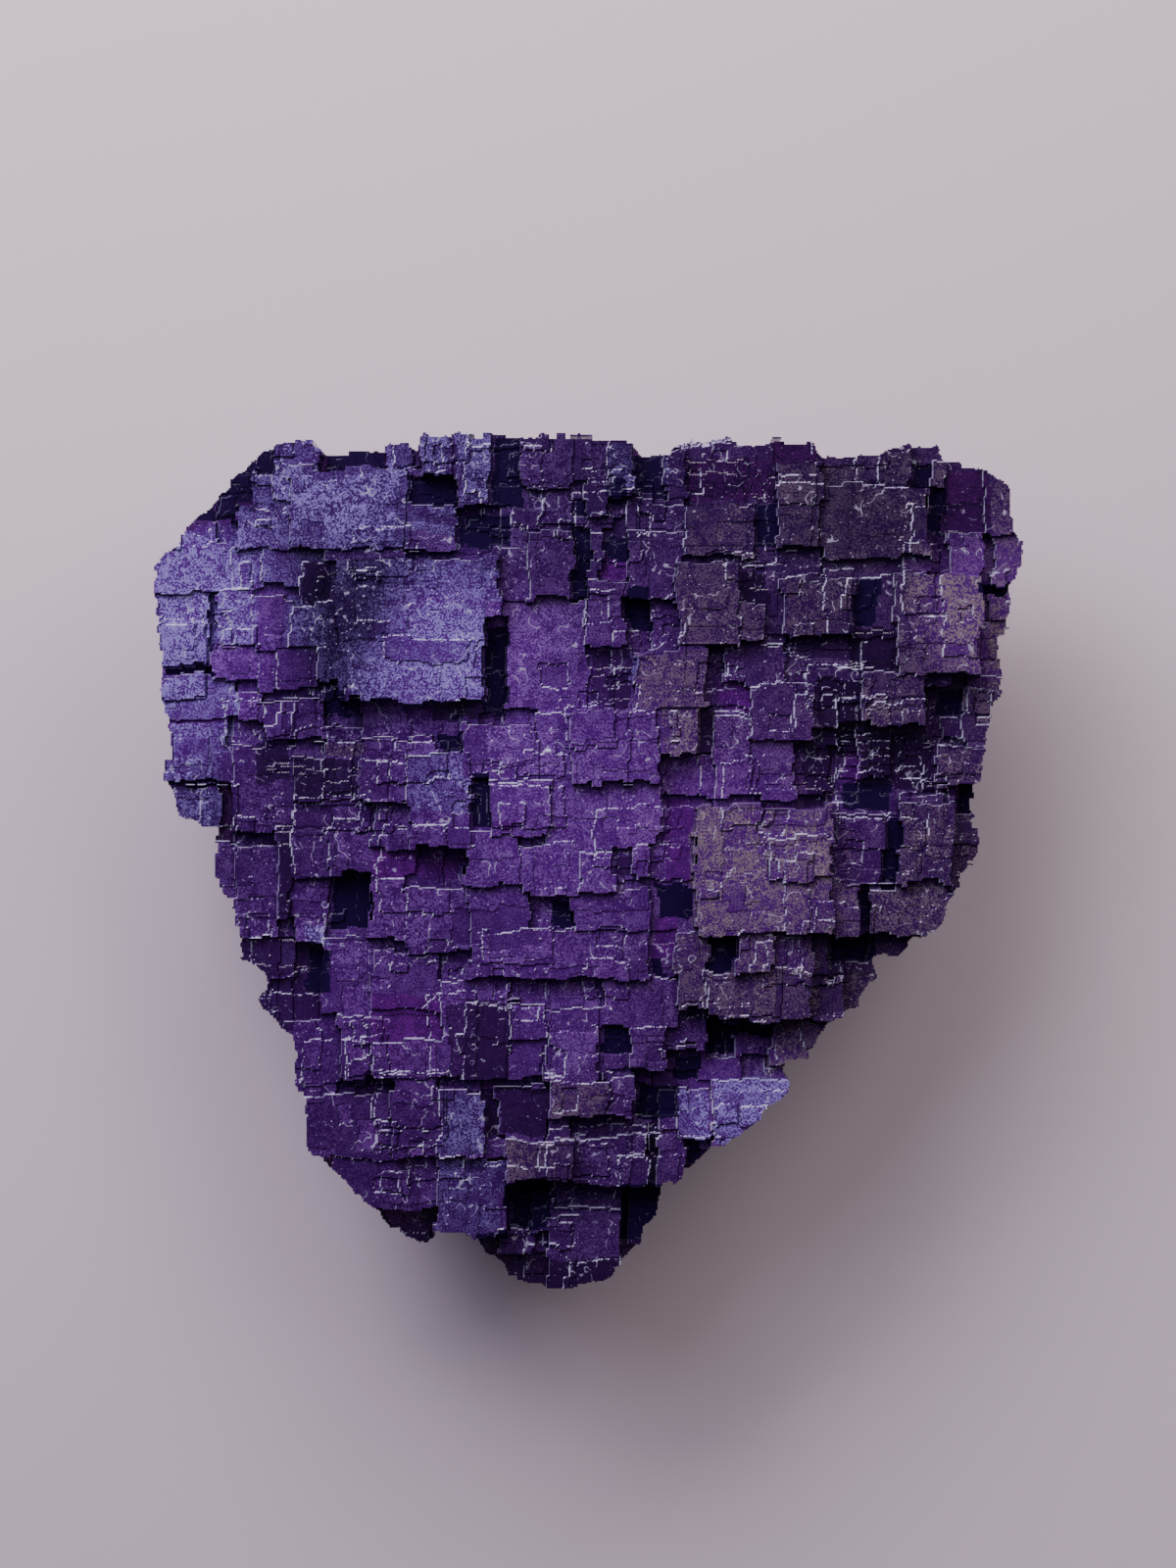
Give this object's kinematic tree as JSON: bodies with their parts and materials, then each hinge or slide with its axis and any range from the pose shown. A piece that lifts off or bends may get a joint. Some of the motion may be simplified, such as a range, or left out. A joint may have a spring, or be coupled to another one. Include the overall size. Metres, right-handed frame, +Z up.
{
  "type": "stepped fluorite crystal",
  "caption": "Deep purple fluorite crystal, a flat triangular mosaic of right-angled steps with frosted faces and clear recesses, lying on a flat face of its stepped back.",
  "frame": {"origin": "centre of the footprint, at the height of the surface the crystal rests on", "axes": "+Z up, out of the mosaic front; +Y towards the wide edge of the triangle, its point is at -Y; +X to the right of someone who looks down on the front with +Y away from them"},
  "size_m": [0.0582, 0.0574, 0.0207],
  "materials": {
    "fluorite": "clear deep purple crystal, its high faces frosted lilac to grey by fine etching, its recesses glossy and nearly black"
  },
  "bodies": {
    "root": {"fluorite_crystal": "fluorite"}
  },
  "joints": []
}
